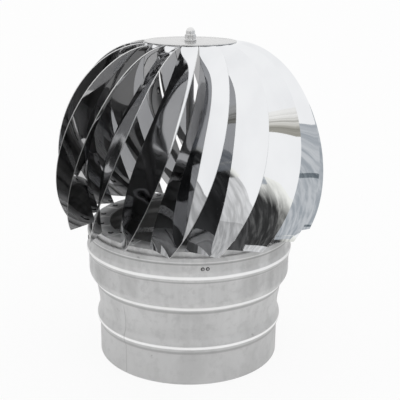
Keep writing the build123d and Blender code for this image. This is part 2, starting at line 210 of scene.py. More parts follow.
def metal(tree, colour, roughness, normal, **settings):
    """Metal surface, with what changes over it wired to its colour, roughness and normal."""
    sockets = {"Metallic": 1.0, "Base Color": colour, "Roughness": roughness, "Normal": normal}
    sockets.update(settings)
    surface = tree.wire("ShaderNodeBsdfPrincipled", None, sockets)
    tree.node("ShaderNodeOutputMaterial", None, {"Surface": surface})


def place_on_piece(tree, scale):
    """Coordinates on the piece in metres, stretched by a scale in X, Y and Z."""
    place = tree.wire("ShaderNodeTexCoord", None, None, 3)
    return tree.wire("ShaderNodeMapping", None, {"Vector": place, "Scale": scale})


def millimetres_on_piece(tree):
    """X, Y and Z on the piece, in millimetres."""
    place = tree.wire("ShaderNodeTexCoord", None, None, 3)
    parts = tree.node("ShaderNodeSeparateXYZ", None, {0: place})
    return [Wire(tree, parts.outputs[n]) * (1 / MM) for n in range(3)]


def noise(tree, place, scale, detail=3.0, roughness=0.5):
    sockets = {"Vector": place, "Scale": scale, "Detail": detail, "Roughness": roughness}
    return tree.wire("ShaderNodeTexNoise", None, sockets)


def bump(tree, height, strength, distance):
    sockets = {"Height": height, "Strength": strength, "Distance": distance}
    return tree.wire("ShaderNodeBump", None, sockets)


def along_strip(tree, across, along):
    """Coordinates that follow a blade: across its width and along its length."""
    strip = tree.wire("ShaderNodeUVMap", {"uv_map": "UVMap"})
    return tree.wire("ShaderNodeMapping", None, {"Vector": strip, "Scale": (across, along, 1.0)})


def polished_sheet(name, unmarked, smeared):
    """Mirror-polished stainless sheet, a little wavy, with faint polishing lines and smears."""
    material, tree = new_finish(name)
    smears = noise(tree, place_on_piece(tree, (1, 1, 0.5)), 22.0, 4.0)
    lines = noise(tree, along_strip(tree, 60.0, 2.0), 9.0, 2.0)
    dust = noise(tree, place_on_piece(tree, (1, 1, 1)), 420.0, 2.0)
    waves = noise(tree, along_strip(tree, 0.35, 1.0), 3.2, 1.0)
    tone = tree.between(smears, 0.3, 0.8)
    colour = tree.mix_colour(tone, unmarked, smeared)
    roughness = 0.02 + 0.04 * tree.between(smears, 0.45, 0.8)
    roughness = roughness + 0.02 * tree.between(lines, 0.4, 0.8)
    roughness = roughness + 0.10 * tree.between(dust, 0.68, 0.8)
    metal(tree, colour, roughness, bump(tree, waves, 1.0, 0.0002))
    return material


def cut_edge():
    """Sheared edge of the sheet: paler and duller than its faces."""
    material, tree = new_finish("cut_edge")
    grain = noise(tree, place_on_piece(tree, (1, 1, 0.3)), 900.0, 2.0)
    colour = tree.mix_colour(grain, grey(0.66), grey(0.86))
    metal(tree, colour, 0.32 + 0.2 * grain, bump(tree, grain, 0.3, 0.0001))
    return material


def lines_round_stub(tree, height, lines):
    """1 on each line round the stub, fading to 0 at its edges."""
    shown = None
    for middle, half, soft in lines:
        away = tree.math("ABSOLUTE", height - middle)
        line = 1 - tree.between(away, half - soft, half + soft)
        shown = line if shown is None else shown + line
    return shown


def satin_sheet():
    """Satin stainless sheet of the stub: soft clouds, faint upright streaks and small marks.

    The beads' crests, the shoulder and the rim carry painted highlight lines, a painted shade line
    lies under each of them, the colour is painted paler up the wall as painted light on the collar
    where the cage shades it, and the seam is a thin dark line.
    """
    material, tree = new_finish("satin_sheet")
    x, y, z = millimetres_on_piece(tree)
    streaks = noise(tree, place_on_piece(tree, (1, 1, 0.12)), 60.0, 4.0)
    clouds = noise(tree, place_on_piece(tree, (1, 1, 0.6)), 34.0, 5.0, 0.62)
    grain = noise(tree, place_on_piece(tree, (1, 1, 0.06)), 1500.0, 2.0)
    blotches = noise(tree, place_on_piece(tree, (1, 1, 1)), 120.0, 4.0, 0.6)
    specks = noise(tree, place_on_piece(tree, (1, 1, 1)), 95.0, 2.0, 0.7)
    wander = noise(tree, place_on_piece(tree, (1, 1, 1)), 18.0, 2.0)
    height = z + 1.2 * (wander - 0.5)
    # Painted highlight: white lines on the beads' crests, the shoulder and the rim
    painted_highlight = lines_round_stub(tree, height, PAINTED_HIGHLIGHT_LINES)
    # Painted shade: dark lines under the beads, the shoulder and the rolled rim
    painted_shade = lines_round_stub(tree, height, PAINTED_SHADE_LINES)
    across_x, across_y, _ = polar(1, SEAM_AZIMUTH + 90, 0)
    off_seam = tree.math("ABSOLUTE", across_x * x + across_y * y)
    in_front = tree.between(-y, 0.0, 1.0) * (1 - tree.between(z, 76.0, 80.0))
    seam = (1 - tree.between(off_seam, 0.25, 0.75)) * in_front

    # Painted light: paler up the wall and darker towards the foot, lifting the collar that the
    # cage shades
    foot = 1 - tree.between(z, 0.0, 130.0)
    colour = tree.mix_colour(tree.between(streaks, 0.3, 0.75), grey(0.60), grey(0.70))
    colour = tree.mix_colour(foot, colour, grey(0.56))
    colour = tree.mix_colour(0.6 * tree.between(clouds, 0.44, 0.66), colour, grey(0.48))
    colour = tree.mix_colour(0.35 * tree.between(blotches, 0.48, 0.68), colour, grey(0.44))
    colour = tree.mix_colour(0.6 * tree.between(specks, 0.70, 0.78), colour, grey(0.30))
    # Painted shade lines darken the colour, then painted highlight lines whiten it
    colour = tree.mix_colour(0.7 * painted_shade, colour, grey(0.34))
    colour = tree.mix_colour(painted_highlight, colour, grey(1.0))
    colour = tree.mix_colour(0.5 * seam, colour, grey(0.30))
    roughness = 0.34 + 0.10 * clouds + 0.06 * grain
    normal = bump(tree, grain * 0.4 + clouds * 0.6, 0.25, 0.0003)
    metal(tree, colour, roughness, normal, Metallic=0.12 * (1 - painted_highlight) + 0.04)
    return material


def painted_shade_inside():
    """Inside of the stub: dull mill finish, its colour darkened as painted shade inside the tube,
    with faint rolling marks.
    """
    material, tree = new_finish("painted_shade_inside")
    clouds = noise(tree, place_on_piece(tree, (1, 1, 0.4)), 30.0, 4.0)
    marks = noise(tree, place_on_piece(tree, (1, 1, 0.05)), 500.0, 2.0)
    # Painted shade: dark greys for the inside of the tube
    colour = tree.mix_colour(tree.between(clouds, 0.3, 0.75), grey(0.24), grey(0.40))
    metal(tree, colour, 0.38 + 0.15 * marks, bump(tree, marks, 0.2, 0.0001), Metallic=0.7)
    return material


def plain_bar():
    """Plain stainless bar and ring stock."""
    material, tree = new_finish("plain_bar")
    clouds = noise(tree, place_on_piece(tree, (1, 1, 1)), 35.0, 3.0)
    grain = noise(tree, place_on_piece(tree, (1, 1, 0.2)), 700.0, 2.0)
    colour = tree.mix_colour(clouds, grey(0.34), grey(0.44))
    metal(tree, colour, 0.22 + 0.12 * grain, bump(tree, grain, 0.15, 0.0002))
    return material


def turned_steel():
    """Turned steel with fine rings from the tool."""
    material, tree = new_finish("turned_steel")
    rings = noise(tree, place_on_piece(tree, (0.05, 0.05, 1)), 1400.0, 2.0)
    clouds = noise(tree, place_on_piece(tree, (1, 1, 1)), 60.0, 2.0)
    colour = tree.mix_colour(clouds, grey(0.42), grey(0.52))
    metal(tree, colour, 0.24 + 0.14 * rings, bump(tree, rings, 0.2, 0.0001))
    return material


def polished_nut():
    """Plated nut and washers."""
    material, tree = new_finish("polished_nut")
    clouds = noise(tree, place_on_piece(tree, (1, 1, 1)), 240.0, 3.0)
    colour = tree.mix_colour(clouds, grey(0.76), grey(0.84))
    roughness = 0.14 + 0.1 * tree.between(clouds, 0.4, 0.8)
    metal(tree, colour, roughness, bump(tree, clouds, 0.1, 0.0001), Metallic=0.45)
    return material


def ground_steel():
    """Ground and hardened bearing steel."""
    material, tree = new_finish("ground_steel")
    lines = noise(tree, place_on_piece(tree, (1, 1, 4)), 900.0, 2.0)
    colour = tree.mix_colour(lines, grey(0.54), grey(0.64))
    metal(tree, colour, 0.1 + 0.1 * lines, bump(tree, lines, 0.1, 0.0001))
    return material


def black_spring_steel():
    """Blackened spring steel of the circlips."""
    material, tree = new_finish("black_spring_steel")
    wear = noise(tree, place_on_piece(tree, (1, 1, 1)), 300.0, 3.0)
    colour = tree.mix_colour(tree.between(wear, 0.45, 0.75), grey(0.09), grey(0.22))
    metal(tree, colour, 0.35 + 0.2 * wear, bump(tree, wear, 0.2, 0.0001))
    return material


def rivet_steel():
    """Rivet heads: bright domes with painted shade at their edge, where they meet the sheet."""
    material, tree = new_finish("rivet_steel")
    marks = noise(tree, place_on_piece(tree, (1, 1, 1)), 520.0, 3.0)
    edge = tree.wire("ShaderNodeAttribute", {"attribute_name": "edge"}, None, 2)
    colour = tree.mix_colour(marks, grey(0.62), grey(0.80))
    # Painted shade: the head's colour goes near black towards its edge
    colour = tree.mix_colour(edge, colour, grey(0.05))
    metal(tree, colour, 0.25 + 0.2 * marks, bump(tree, marks, 0.2, 0.0001), Metallic=0.6)
    return material


POLISHED = polished_sheet("polished_sheet", (0.86, 0.87, 0.885, 1), (0.78, 0.79, 0.81, 1))
# The blades' inner faces: a darker copy of the polished sheet, painted shade inside the cage
PAINTED_SHADE_INNER_FACE = polished_sheet("blade_inner_face_painted_shade", (0.40, 0.40, 0.405, 1), (0.34, 0.34, 0.345, 1))
CUT_EDGE = cut_edge()
SATIN = satin_sheet()
PAINTED_SHADE_INSIDE = painted_shade_inside()
BAR = plain_bar()
TURNED = turned_steel()
NUT = polished_nut()
GROUND = ground_steel()
SPRING = black_spring_steel()
RIVET = rivet_steel()


# Shapes

def finished(name, mesh, crease=35.0):
    """Object of a mesh with smooth faces and sharp creases."""
    mesh.shade_smooth()
    mesh.set_sharp_from_angle(angle=math.radians(crease))
    piece = bpy.data.objects.new(name, mesh)
    bpy.context.scene.collection.objects.link(piece)
    return piece


def mesh_of(name, points, faces, finish):
    """Mesh from points in millimetres, with its faces turned outwards."""
    mesh = bpy.data.meshes.new(name)
    mesh.from_pydata([Vector(point) * MM for point in points], [], faces)
    shape = bmesh.new()
    shape.from_mesh(mesh)
    bmesh.ops.remove_doubles(shape, verts=shape.verts, dist=1e-7)
    bmesh.ops.recalc_face_normals(shape, faces=shape.faces)
    shape.to_mesh(mesh)
    shape.free()
    mesh.materials.append(finish)
    return mesh


def rounded(outline, radius, steps=3):
    """Closed outline with each corner rounded by a small arc."""
    result = []
    for number, corner in enumerate(outline):
        corner = Vector(corner)
        before = Vector(outline[number - 1]) - corner
        after = Vector(outline[(number + 1) % len(outline)]) - corner
        reach = min(radius, 0.45 * before.length, 0.45 * after.length)
        if corner.x < 1e-6 or before.normalized().dot(after.normalized()) < -0.995:
            result.append(corner)
            continue
        start = corner + before.normalized() * reach
        end = corner + after.normalized() * reach
        for step in range(steps + 1):
            share = step / steps
            rest = 1 - share
            result.append(rest * rest * start + 2 * rest * share * corner + share * share * end)
    return result


def turned_mesh(name, outline, finish, segments=96):
    """Closed outline of radius and height, turned about the axis."""
    points = []
    faces = []
    count = len(outline)
    for turn in range(segments):
        azimuth = 360 * turn / segments
        points += [polar(spot[0], azimuth, spot[1]) for spot in outline]
    for turn in range(segments):
        first = turn * count
        second = (turn + 1) % segments * count
        for spot in range(count):
            after = (spot + 1) % count
            if outline[spot][0] < 1e-6 and outline[after][0] < 1e-6:
                continue
            faces.append((first + spot, first + after, second + after, second + spot))
    return mesh_of(name, points, faces, finish)


def turned(name, outline, finish, segments=96, corner=0.15):
    return finished(name, turned_mesh(name, rounded(outline, corner), finish, segments))


def square_ring(inner, outer, bottom, top):
    return [(inner, bottom), (outer, bottom), (outer, top), (inner, top)]


# Node trees for what repeats

def geometry_tree(name, inputs):
    """Geometry tree with named number inputs."""
    group = bpy.data.node_groups.new(name, "GeometryNodeTree")
    group.interface.new_socket("Geometry", in_out="INPUT", socket_type="NodeSocketGeometry")
    for label, kind in inputs.items():
        group.interface.new_socket(label, in_out="INPUT", socket_type=f"NodeSocket{kind}")
    group.interface.new_socket("Geometry", in_out="OUTPUT", socket_type="NodeSocketGeometry")
    return group


def grown(piece_name, start_mesh, group, values, crease=35.0):
    """Runs a geometry tree on a mesh and gives the result as a plain mesh piece."""
    seed = bpy.data.objects.new(piece_name + "_seed", start_mesh)
    bpy.context.scene.collection.objects.link(seed)
    modifier = seed.modifiers.new("tree", "NODES")
    modifier.node_group = group
    for item in group.interface.items_tree:
        if item.in_out == "INPUT" and item.name in values:
            modifier[item.identifier] = values[item.name]
    bpy.context.view_layer.update()
    seen = bpy.context.evaluated_depsgraph_get()
    mesh = bpy.data.meshes.new_from_object(seed.evaluated_get(seen))
    mesh.name = piece_name
    seed.modifiers.clear()
    bpy.data.objects.remove(seed)
    return finished(piece_name, mesh, crease)


def turned_copies(tree, piece, count, turn):
    """Copies of a mesh, each turned about the axis, as one plain mesh."""
    spots = tree.wire("GeometryNodePoints", None, {"Count": count})
    spin = tree.wire("ShaderNodeCombineXYZ", None, {"Z": turn})
    sockets = {"Points": spots, "Instance": piece, "Rotation": spin}
    copies = tree.wire("GeometryNodeInstanceOnPoints", None, sockets)
    return tree.wire("GeometryNodeRealizeInstances", None, {0: copies})


def ring_of_copies():
    """Tree that repeats a mesh at even turns about the axis."""
    group = geometry_tree(
        "ring_of_copies", {"Count": "Int", "First Azimuth": "Float", "Finish": "Material"}
    )
    tree = Tree(group)
    given = tree.node("NodeGroupInput")
    source, count, first, finish = [Wire(tree, given.outputs[n]) for n in range(4)]
    number = tree.wire("GeometryNodeInputIndex")
    turn = tree.math("RADIANS", first + number * (360.0 / count))
    whole = turned_copies(tree, source, count, turn)
    sockets = {"Geometry": whole, "Material": finish}
    whole = tree.wire("GeometryNodeSetMaterial", None, sockets)
    tree.node("NodeGroupOutput", None, {"Geometry": whole})
    return group


COPIES = ring_of_copies()


def copies_around(name, mesh, count, first_azimuth, finish, crease=35.0):
    values = {"Count": count, "First Azimuth": float(first_azimuth), "Finish": finish}
    return grown(name, mesh, COPIES, values, crease)


def flagged(tree, faces, name, value):
    settings = {"data_type": "BOOLEAN", "domain": "FACE"}
    sockets = {"Geometry": faces, "Name": name, "Value": value}
    return tree.wire("GeometryNodeStoreNamedAttribute", settings, sockets)


def painted(tree, whole, finish, flag=None):
    """Gives a finish to all faces, or to those that carry a flag."""
    sockets = {"Geometry": whole, "Material": finish}
    if flag:
        kind = "GeometryNodeInputNamedAttribute"
        sockets["Selection"] = tree.wire(kind, {"data_type": "BOOLEAN"}, {"Name": flag})
    return tree.wire("GeometryNodeSetMaterial", None, sockets)


def joined(tree, parts):
    join = tree.node("GeometryNodeJoinGeometry")
    for part in parts:
        tree.tree.links.new(part.socket, join.inputs[0])
    return Wire(tree, join.outputs[0])


def sheet_from_grid(tree, grid, place, thickness, top_is_inner):
    """Closed sheet of some thickness whose middle surface is a grid moved to a place."""
    middle = tree.wire("GeometryNodeSetPosition", None, {"Geometry": grid, "Position": place})
    normal = tree.wire("GeometryNodeInputNormal")
    half = tree.wire(
        "ShaderNodeVectorMath", {"operation": "SCALE"}, {0: normal, "Scale": -0.5 * thickness}
    )
    lower = tree.wire("GeometryNodeSetPosition", None, {"Geometry": middle, "Offset": half})
    extruded = tree.node(
        "GeometryNodeExtrudeMesh",
        {"mode": "FACES"},
        {"Mesh": lower, "Offset Scale": thickness, "Individual": False},
    )
    upper = flagged(tree, Wire(tree, extruded.outputs["Mesh"]), "cut_edge",
                    Wire(tree, extruded.outputs["Side"]))
    if top_is_inner:
        upper = flagged(tree, upper, "inner_face", Wire(tree, extruded.outputs["Top"]))
    under = tree.wire("GeometryNodeFlipFaces", None, {"Mesh": lower})
    sockets = {"Geometry": joined(tree, (under, upper)), "Distance": 1e-6}
    return tree.wire("GeometryNodeMergeByDistance", None, sockets)


def strip_grid(tree, columns, rows):
    """Grid with its shares across and along, kept as the strip's UV map."""
    made = tree.node(
        "GeometryNodeMeshGrid",
        None,
        {"Size X": 1.0, "Size Y": 1.0, "Vertices X": columns, "Vertices Y": rows},
    )
    spot = tree.node("ShaderNodeSeparateXYZ", None, {0: tree.wire("GeometryNodeInputPosition")})
    across = Wire(tree, spot.outputs[0]) + 0.5
    along = Wire(tree, spot.outputs[1]) + 0.5
    mapped = tree.wire("ShaderNodeCombineXYZ", None, {"X": across, "Y": along})
    grid = tree.wire(
        "GeometryNodeStoreNamedAttribute",
        {"data_type": "FLOAT2", "domain": "CORNER"},
        {"Geometry": Wire(tree, made.outputs[0]), "Name": "UVMap", "Value": mapped},
    )
    return grid, across, along


def cubic(share, start, shoulder, belly, end):
    """Cubic curve with two handles."""
    rest = 1 - share
    ends = rest * rest * rest * start + share * share * share * end
    return ends + 3 * rest * rest * share * shoulder + 3 * rest * share * share * belly


def edge_spot(tree, edge, share):
    """X, Y and height in millimetres on one edge of a blade."""
    radius = cubic(share, *edge["radius"])
    angle = tree.math("RADIANS", cubic(share, *edge["azimuth"]))
    height = cubic(share, *edge["height"])
    return radius * tree.math("SINE", angle), -(radius * tree.math("COSINE", angle)), height


def blade_cage_tree():
    """Tree of the whole cage: one blade from its rule, then copies about the axis."""
    group = geometry_tree(
        "blade_cage", {"Blades": "Int", "Sheet": "Float", "Rows": "Int", "Columns": "Int"}
    )
    tree = Tree(group)
    given = tree.node("NodeGroupInput")
    blades, sheet, rows, columns = [Wire(tree, given.outputs[n]) for n in range(1, 5)]
    grid, across, along = strip_grid(tree, columns, rows)
    tab_share = 0.12
    run = along * (1 + tab_share) - tab_share
    share = tree.math("MAXIMUM", run, 0.0)
    inwards = tree.math("MAXIMUM", -run, 0.0) * ((1 - TAB_INNER_RADIUS / DISC_RADIUS) / tab_share)
    outer = edge_spot(tree, OUTER_EDGE, share)
    inner = edge_spot(tree, INNER_EDGE, share)
    x, y, z = [start + (end - start) * across for start, end in zip(inner, outer)]
    shrink = 1 - inwards
    place = tree.wire(
        "ShaderNodeCombineXYZ", None, {"X": x * shrink * MM, "Y": y * shrink * MM, "Z": z * MM}
    )
    strip = sheet_from_grid(tree, grid, place, sheet, True)

    foot_grid, out, side = strip_grid(tree, 9, 9)
    foot_inner = RING_INNER_RADIUS + 1.5
    foot_outer = RING_RADIUS - 1.5
    corner_radius = INNER_EDGE["radius"][3]
    end = polar(OUTER_EDGE["radius"][3], OUTER_EDGE["azimuth"][3], 0)
    start = polar(corner_radius, FOOT_FIRST_AZIMUTH, 0)
    reached = start + (end - start).normalized() * (foot_outer - corner_radius + SHEET)
    lead = math.degrees(math.atan2(reached.x, -reached.y)) - FOOT_FIRST_AZIMUTH
    radius = foot_inner + (foot_outer - foot_inner) * out
    beyond = tree.math("MAXIMUM", radius - corner_radius, 0.0) / (foot_outer - corner_radius)
    first = FOOT_FIRST_AZIMUTH + lead * beyond
    angle = tree.math("RADIANS", first + (FOOT_LAST_AZIMUTH - first) * side)
    foot_place = tree.wire(
        "ShaderNodeCombineXYZ",
        None,
        {
            "X": radius * tree.math("SINE", angle) * MM,
            "Y": -(radius * tree.math("COSINE", angle)) * MM,
            "Z": (RING_TOP + SHEET / 2) * MM,
        },
    )
    foot = sheet_from_grid(tree, foot_grid, foot_place, sheet, False)
    foot = flagged(tree, foot, "foot_face", True)
    blade = joined(tree, (strip, foot))

    number = tree.wire("GeometryNodeInputIndex")
    turn = tree.math("RADIANS", (number + 0.5) * (360.0 / blades))
    whole = turned_copies(tree, blade, blades, turn)
    whole = painted(tree, whole, POLISHED)
    # Inner faces take the darker copy: painted shade
    whole = painted(tree, whole, PAINTED_SHADE_INNER_FACE, "inner_face")
    whole = painted(tree, whole, RING_SHEET, "foot_face")
    whole = painted(tree, whole, CUT_EDGE, "cut_edge")
    tree.node("NodeGroupOutput", None, {"Geometry": whole})
    return group


def blade_cage():
    values = {"Blades": BLADE_COUNT, "Sheet": SHEET * MM, "Rows": 121, "Columns": 11}
    cage = grown("blade_cage", bpy.data.meshes.new("cage_seed"), blade_cage_tree(), values)
    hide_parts(*[f"blade_{number:02d}" for number in range(1, BLADE_COUNT + 1)])
    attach(cage, "rotor")


# Stub

def swell(radius, middle, reach, half_width, steps=18):
    """Section of a rolled bead that runs smoothly into the wall above and below."""
    spots = []
    for step in range(steps + 1):
        share = -1 + 2 * step / steps
        rise = reach * (0.5 + 0.5 * math.cos(math.pi * share))
        spots.append((radius + rise, middle + half_width * share))
    return spots


def softly(share):
    return share * share * (3 - 2 * share)


def stub_side(inset):
    """Section of the stub's wall, from its bottom edge up to the rolled rim."""
    tube = TUBE_RADIUS - inset
    collar = COLLAR_RADIUS - inset
    side = [(tube, 0.0), (tube, 10.0), (tube, 20.0), (tube, 30.2)]
    side += swell(tube, *TUBE_BEAD)
    side += [(tube, 54.8), (tube, 58.0), (tube + 0.1, 62.8)]
    side += [(tube + 0.7, 66.5), (tube + 1.8, 73.0), (tube + 2.7, 79.0)]
    for step in range(1, 12):
        share = step / 12
        side.append((tube + 2.8 + (collar - tube - 2.8) * softly(share), 79.5 + 17.5 * share))
    side += [(collar, 97.0), (collar, 98.0), (collar, 106.0), (collar, 114.2)]
    side += swell(collar, *COLLAR_BEAD)
    side += [(collar, 130.8), (collar, 134.0), (collar, 137.6)]
    return side


def rim_spots(height, first, last, step):
    """Points of the rolled rim's round section, from one angle to another."""
    centre = COLLAR_RADIUS + RIM_PROUD - RIM_ROUND
    angles = [math.radians(angle) for angle in range(first, last + 1, step)]
    return [(centre + RIM_ROUND * math.cos(angle), height + RIM_ROUND * math.sin(angle))
            for angle in angles]


def stub_tube():
    """Stub with its wall, rolled rim and lengthwise seam."""
    outside = stub_side(0)
    inside = stub_side(SHEET)
    outline = outside + rim_spots(RIM_LOW, -60, 0, 12)
    outline += rim_spots(RIM_HIGH, 0, 90, 15) + rim_spots(RIM_HIGH, 102, 180, 13)
    outline += list(reversed(inside))
    azimuths = [360 * turn / 240 - 180 for turn in range(240)]
    azimuths += [SEAM_AZIMUTH + step * SEAM_STEP for step in range(-6, 7)]
    azimuths = sorted(azimuths)
    points = []
    faces = []
    count = len(outline)
    for azimuth in azimuths:
        off_seam = math.radians(azimuth - SEAM_AZIMUTH) * TUBE_RADIUS
        groove = SEAM_DEPTH * math.exp(-((off_seam / SEAM_WIDTH) ** 2))
        for number, (radius, height) in enumerate(outline):
            depth = groove if number < len(outside) else 0.0
            points.append(polar(radius - depth, azimuth, height))
    turns = len(azimuths)
    for turn in range(turns):
        first = turn * count
        second = (turn + 1) % turns * count
        for spot in range(count):
            after = (spot + 1) % count
            faces.append((first + spot, first + after, second + after, second + spot))
    mesh = mesh_of("stub", points, faces, SATIN)
    # Faces that look inwards take the darker finish: painted shade inside the tube
    mesh.materials.append(PAINTED_SHADE_INSIDE)
    for face in mesh.polygons:
        outwards = face.center.xy
        if face.normal.xy.dot(outwards) < -0.5 * outwards.length:
            face.material_index = 1
    stub = finished("stub", mesh, 50.0)
    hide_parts("stub_tube")
    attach(stub, "stub")


# Spider

def flat_bar():
    """One arm of the spider, along +X, its end bent down against the collar."""
    width = 15.0
    thick = 2.0
    top = 138.0
    end = 109.85
    bend = 2.4
    wall_radius = 110.0
    path = [(14.0, top), (40.0, top), (70.0, top), (100.0, top), (106.0, top)]
    for step in range(7):
        angle = math.radians(90 - 15 * step)
        path.append((end - bend + bend * math.cos(angle), top - bend + bend * math.sin(angle)))
    path += [(end, 132.0), (end, 127.0)]
    back = [(end - thick, 127.0), (end - thick, 132.0), (end - thick, top - thick - 0.5)]
    back += [(end - thick - 0.5, top - thick), (100.0, top - thick), (14.0, top - thick)]
    outline = rounded(path + back, 0.25, 2)
    columns = 13
    points = []
    faces = []
    for column in range(columns):
        y = width * (column / (columns - 1) - 0.5)
        tuck = wall_radius - math.sqrt(wall_radius**2 - y * y)
        for x, z in outline:
            points.append((x - tuck * min(max((x - 90) / 15, 0), 1), y, z))
    count = len(outline)
    for column in range(columns - 1):
        for spot in range(count):
            after = (spot + 1) % count
            here = column * count
            there = here + count
            faces.append((here + spot, here + after, there + after, there + spot))
    faces.append(tuple(range(count)))
    faces.append(tuple(range((columns - 1) * count, columns * count)))
    return mesh_of("flat_bar", points, faces, BAR)


def dome_rivet(radius, head_radius, head_height, grip, tail_radius, tail_height):
    """Outline of a rivet about Z, its head standing on 0."""
    dome = []
    sphere = (head_radius**2 + head_height**2) / (2 * head_height)
    widest = math.asin(min(1, head_radius / sphere))
    for step in range(9):
        angle = widest * (1 - step / 8)
        dome.append((sphere * math.sin(angle), head_height - sphere + sphere * math.cos(angle)))
    tail = [(0.0, -grip - tail_height), (tail_radius, -grip - tail_height), (tail_radius, -grip)]
    return tail + [(radius, -grip), (radius, 0.0)] + dome[:-1] + [(0.0, head_height)]


def rivet_mesh(name, outline, head_radius, segments):
    """Turned rivet whose head carries a painted shade mark that grows towards its edge."""
    mesh = turned_mesh(name, outline, RIVET, segments)
    # The edge value is the mask of the painted shade round the head
    edge = mesh.attributes.new("edge", "FLOAT", "POINT")
    for number, vertex in enumerate(mesh.vertices):
        reach = vertex.co.xy.length / (head_radius * MM)
        edge.data[number].value = min(1.0, max(0.0, (reach - 0.40) / 0.25))
    return mesh


def spider():
    """Four arms, the bearing housing between them and the rivets at their feet."""
    arms = copies_around("spider_arms", flat_bar(), 4, ARM_AZIMUTH - 90, BAR)
    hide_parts(*[f"spider_arm_{number}" for number in range(1, 5)])
    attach(arms, "stub")

    head = ARM_RIVET_HEAD_RADIUS
    outline = dome_rivet(1.2, head, 0.9, 2.85, head, 0.9)
    rivet = rivet_mesh("spider_rivet", outline, head, 32)
    stand = Matrix.Rotation(math.radians(90), 4, "Y")
    pair = bmesh.new()
    for side in (-2.5, 2.5):
        single = rivet.copy()
        spot = Vector((COLLAR_RADIUS, side, ARM_RIVET_HEIGHT))
        single.transform(Matrix.Translation(spot * MM) @ stand)
        pair.from_mesh(single)
    both = bpy.data.meshes.new("rivet_pair")
    pair.to_mesh(both)
    pair.free()
    rivets = copies_around("spider_rivet_heads", both, 4, ARM_AZIMUTH - 90, RIVET)
    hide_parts("spider_rivets")
    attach(rivets, "stub")

    outline = [
        (11.02, 112.0), (14.0, 112.0), (14.0, 133.5), (24.0, 133.5), (24.0, 136.0),
        (14.0, 136.0), (14.0, 152.0), (11.02, 152.0), (11.02, 151.1), (11.52, 151.1),
        (11.52, 150.0), (11.02, 150.0), (11.02, 143.0), (9.52, 143.0), (9.52, 121.0),
        (11.02, 121.0), (11.02, 114.0), (11.52, 114.0), (11.52, 112.9), (11.02, 112.9),
    ]
    housing = turned("housing", outline, TURNED, 96, 0.25)
    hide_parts("bearing_housing")
    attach(housing, "stub")


def groove_arc(side, bottom):
    """Points of a race's ball groove, seen from the race's own side of the balls."""
    centre = bottom + BEARING_WIDTH / 2
    reach = math.acos((BALL_PITCH_RADIUS - INNER_RACE_RADIUS) / GROOVE_RADIUS)
    spots = []
    for step in range(11):
        angle = -reach + 2 * reach * step / 10
        radius = BALL_PITCH_RADIUS + side * GROOVE_RADIUS * math.cos(angle)
        spots.append((radius, centre + GROOVE_RADIUS * math.sin(angle)))
    return spots


def bearings():
    """Both ball bearings: races with their grooves, and balls."""
    for name, bottom in (("lower", 114.0), ("upper", 143.0)):
        top = bottom + BEARING_WIDTH
        inner = [(4.02, bottom), (INNER_RACE_RADIUS, bottom), *groove_arc(-1, bottom)]
        inner += [(INNER_RACE_RADIUS, top), (4.02, top)]
        outer = [(OUTER_RACE_RADIUS, bottom), (11.0, bottom)]
        outer += [(11.0, top), (OUTER_RACE_RADIUS, top)]
        outer += list(reversed(groove_arc(1, bottom)))
        for kind, outline, body in (("inner", inner, "rotor"), ("outer", outer, "stub")):
            race = turned(f"{name}_{kind}_ring", outline, GROUND, 64, 0.2)
            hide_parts(f"{name}_{kind}_race")
            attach(race, body)
        ball = bmesh.new()
        spot = Vector((0.0, -BALL_PITCH_RADIUS, bottom + BEARING_WIDTH / 2))
        bmesh.ops.create_uvsphere(
            ball, u_segments=24, v_segments=14, radius=BALL_RADIUS * MM,
            matrix=Matrix.Translation(spot * MM),
        )
        single = bpy.data.meshes.new("ball")
        ball.to_mesh(single)
        ball.free()
        balls = copies_around(f"{name}_balls", single, 7, 0.0, GROUND)
        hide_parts(f"{name}_bearing_balls")
        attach(balls, "stub")


# Rotor

def rotor():
    """Spindle, ring, discs, washers and the rivets of the feet."""
    outline = [
        (0.0, 111.45), (3.5, 111.45), (4.0, 111.95), (4.0, 112.9), (3.5, 112.9), (3.5, 114.0),
        (4.0, 114.0), (4.0, 150.0), (6.0, 150.0), (6.0, 156.0), (4.0, 156.0), (4.0, 338.5),
        (3.0, 338.5), (3.0, 352.6), (2.5, 353.1), (0.0, 353.1),
    ]
    spindle = turned("spindle_shaft", outline, TURNED, 64, 0.12)
    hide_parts("spindle")
    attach(spindle, "rotor")

    outline = [
        (RING_INNER_RADIUS, 148.0), (105.5, 148.0), (105.5, 139.5), (RING_RADIUS, 139.5),
        (RING_RADIUS, RING_TOP), (RING_INNER_RADIUS, RING_TOP),
    ]
    ring = turned("ring", outline, RING_SHEET, 240, 0.5)
    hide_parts("rotor_ring")
    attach(ring, "rotor")

    plates = (
        ("disc", "top_disc", DISC_RADIUS, 342.0, DISC_TOP, POLISHED_DISC, "polished_stainless"),
        ("clamp", "clamp_plate", 44.0, 340.0, 341.2, BAR, "plain_stainless"),
        ("washer_below", "lower_washer", 12.0, 338.5, 340.0, NUT, "polished_fastener"),
        ("washer_above", "upper_washer", 6.2, DISC_TOP, NUT_SEAT, NUT, "polished_fastener"),
    )
    for name, node, radius, bottom, top, finish, slot in plates:
        plate = turned(name, square_ring(3.2, radius, bottom, top), finish, 192, 0.3)
        if finish == POLISHED_DISC:
            plate.data.materials.append(CUT_EDGE)
            for face in plate.data.polygons:
                if abs(face.normal.z) < 0.98:
                    face.material_index = 1
        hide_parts(node)
        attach(plate, "rotor")

    outline = dome_rivet(1.6, FOOT_RIVET_HEAD_RADIUS, 1.4, 1.8, 2.4, 1.2)
    rivet = rivet_mesh("foot_rivet", outline, FOOT_RIVET_HEAD_RADIUS, 28)
    azimuth = (FOOT_FIRST_AZIMUTH + FOOT_LAST_AZIMUTH) / 2
    spot = polar(FOOT_RIVET_RADIUS, azimuth, RING_TOP + SHEET)
    rivet.transform(Matrix.Translation(spot * MM))
    rivets = copies_around("foot_rivet_heads", rivet, BLADE_COUNT, BLADE_PITCH / 2, RIVET)
    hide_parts("foot_rivets")
    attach(rivets, "rotor")


